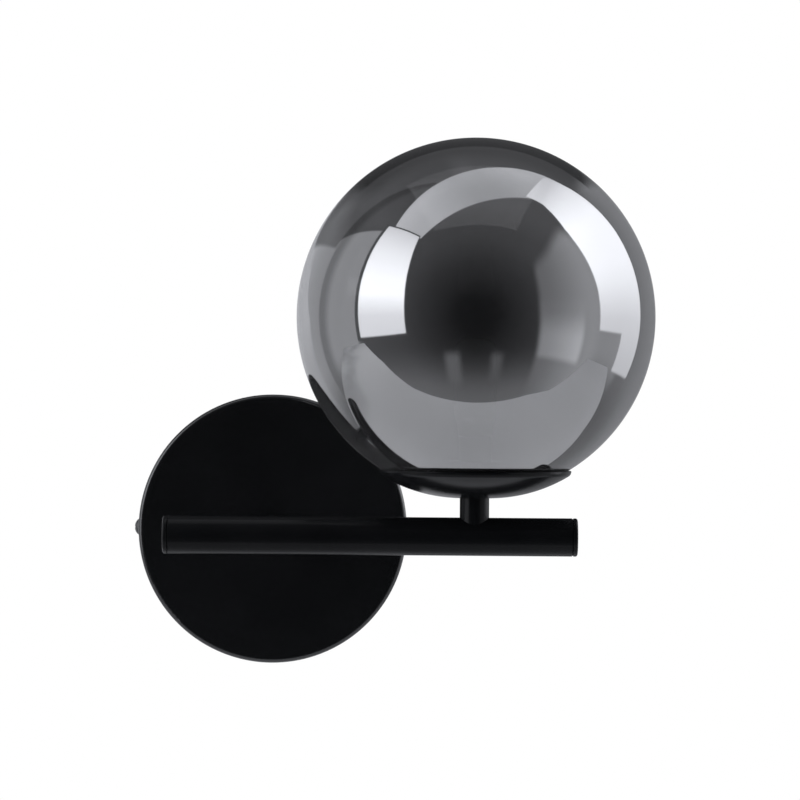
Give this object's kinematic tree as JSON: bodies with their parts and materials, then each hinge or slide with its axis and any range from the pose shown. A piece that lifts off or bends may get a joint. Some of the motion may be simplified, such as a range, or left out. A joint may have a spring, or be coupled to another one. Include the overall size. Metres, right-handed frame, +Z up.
{
  "type": "globe wall sconce",
  "caption": "Wall light with a round plate, a tube standing off it and a half-mirrored smoked glass ball on a dish above the tube's free end.",
  "frame": {"origin": "centre of the bracket's pair of wall slots, on the wall plane", "axes": "+X to the right as seen from the room, along the bar towards the globe; +Y into the wall; +Z up, along the globe's axis"},
  "size_m": [0.2234, 0.175, 0.2259],
  "materials": {
    "black_paint": "satin black powder coat",
    "black_screw": "black oxide screw",
    "zinc_steel": "zinc plated",
    "thread_steel": "yellow zinc plated thread",
    "turned_aluminium": "turned",
    "white_plastic": "moulded",
    "terminal_brass": "nickel-free brass",
    "insulation_brown": "extruded",
    "insulation_blue": "extruded",
    "insulation_green_yellow": "extruded, striped",
    "ceramic": null,
    "silicone": "translucent silicone",
    "smoked_glass": "smoked and half mirrored, smooth",
    "opal_envelope": "milky",
    "bulb_white": "moulded",
    "pin_wire": "bright wire"
  },
  "bodies": {
    "fitting": {"mounting_bracket": "zinc_steel", "canopy": "black_paint", "terminal_block": "white_plastic", "terminal_clamps": "terminal_brass", "terminal_screws": "zinc_steel", "terminal_fixing_screws": "zinc_steel", "earth_lug": "zinc_steel", "earth_screw": "zinc_steel", "wire_live": "insulation_brown", "wire_neutral": "insulation_blue", "wire_earth": "insulation_green_yellow", "standoff_tube": "black_paint", "standoff_nipple": "thread_steel", "standoff_nut": "zinc_steel", "tooth_washer": "zinc_steel", "nipple_bushes": "white_plastic", "bar_tube": "black_paint", "bar_end_left": "black_paint", "bar_end_right": "black_paint", "stem_tube": "black_paint", "stem_nipple": "thread_steel", "holder_nut": "zinc_steel", "dish": "black_paint", "globe_collar": "turned_aluminium", "lampholder_body": "ceramic", "lampholder_contacts": "terminal_brass", "lampholder_screws": "zinc_steel"},
    "gasket_ring": {"globe_gasket": "silicone"},
    "globe": {"globe_glass": "smoked_glass"},
    "bulb": {"bulb_base": "bulb_white", "bulb_pins": "pin_wire", "bulb_envelope": "opal_envelope", "bulb_core": "bulb_white"},
    "left_screw": {"side_screw_left": "black_screw"},
    "right_screw": {"side_screw_right": "black_screw"}
  },
  "joints": [
    {"name": "globe_rise", "type": "slide", "parent": "fitting", "child": "gasket_ring", "axis": [0, 0, 1], "range_m": [0, 0.008]},
    {"name": "globe_turn", "type": "hinge", "parent": "gasket_ring", "child": "globe", "pos_m": [0.0871, -0.1, 0.0919], "axis": [0, 0, 1], "range_deg": [0, 720]},
    {"name": "bulb_pull", "type": "slide", "parent": "fitting", "child": "bulb", "axis": [0, 0, 1], "range_m": [0, 0.0067]},
    {"name": "left_screw_out", "type": "slide", "parent": "fitting", "child": "left_screw", "axis": [-1, 0, 0], "range_m": [0, 0.009]},
    {"name": "right_screw_out", "type": "slide", "parent": "fitting", "child": "right_screw", "axis": [1, 0, 0], "range_m": [0, 0.009]}
  ],
  "couplings": [
    {"joint": "globe_rise", "follows": "globe_turn", "m_per_rad": 0.0006366}
  ]
}
